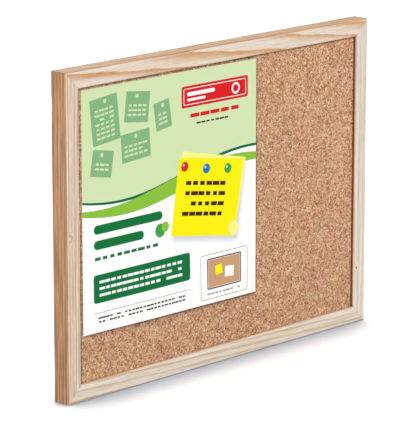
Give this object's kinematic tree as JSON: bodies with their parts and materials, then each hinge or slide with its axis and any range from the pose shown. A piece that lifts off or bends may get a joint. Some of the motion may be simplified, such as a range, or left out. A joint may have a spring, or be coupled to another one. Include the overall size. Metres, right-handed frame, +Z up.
{
  "type": "cork board",
  "caption": "Framed cork notice board with cork on both sides, a mitred pine frame, a printed insert card and two ring hangers on the rear.",
  "frame": {"origin": "middle of the bottom rail's flat underside", "axes": "+X along the board to the right as seen from the front, +Y towards the rear, +Z up; the front looks along -Y"},
  "size_m": [0.4, 0.0234, 0.3],
  "materials": {
    "pine": "satin",
    "fibreboard": "matte",
    "cork": "matte",
    "printed_card": "satin",
    "staple_steel": "satin",
    "plated_steel": "satin"
  },
  "bodies": {
    "board": {"top_rail": "pine", "bottom_rail": "pine", "left_stile": "pine", "right_stile": "pine", "core_board": "fibreboard", "front_cork_sheet": "cork", "rear_cork_sheet": "cork", "top_left_staple": "staple_steel", "top_right_staple": "staple_steel", "bottom_left_staple": "staple_steel", "bottom_right_staple": "staple_steel", "left_hanger_strap": "plated_steel", "right_hanger_strap": "plated_steel", "left_hanger_screw": "plated_steel", "right_hanger_screw": "plated_steel"},
    "card": {"insert_card": "printed_card"},
    "left_ring": {"left_hanger_ring": "plated_steel"},
    "right_ring": {"right_hanger_ring": "plated_steel"}
  },
  "joints": [
    {"name": "card_lift", "type": "slide", "parent": "board", "child": "card", "axis": [0, -1, 0], "range_m": [0, 0.03]},
    {"name": "left_ring_swing", "type": "hinge", "parent": "board", "child": "left_ring", "pos_m": [-0.12, 0.0117, 0.297], "axis": [1, 0, 0], "range_deg": [0, 180]},
    {"name": "right_ring_swing", "type": "hinge", "parent": "board", "child": "right_ring", "pos_m": [0.12, 0.0117, 0.297], "axis": [1, 0, 0], "range_deg": [0, 180]}
  ]
}
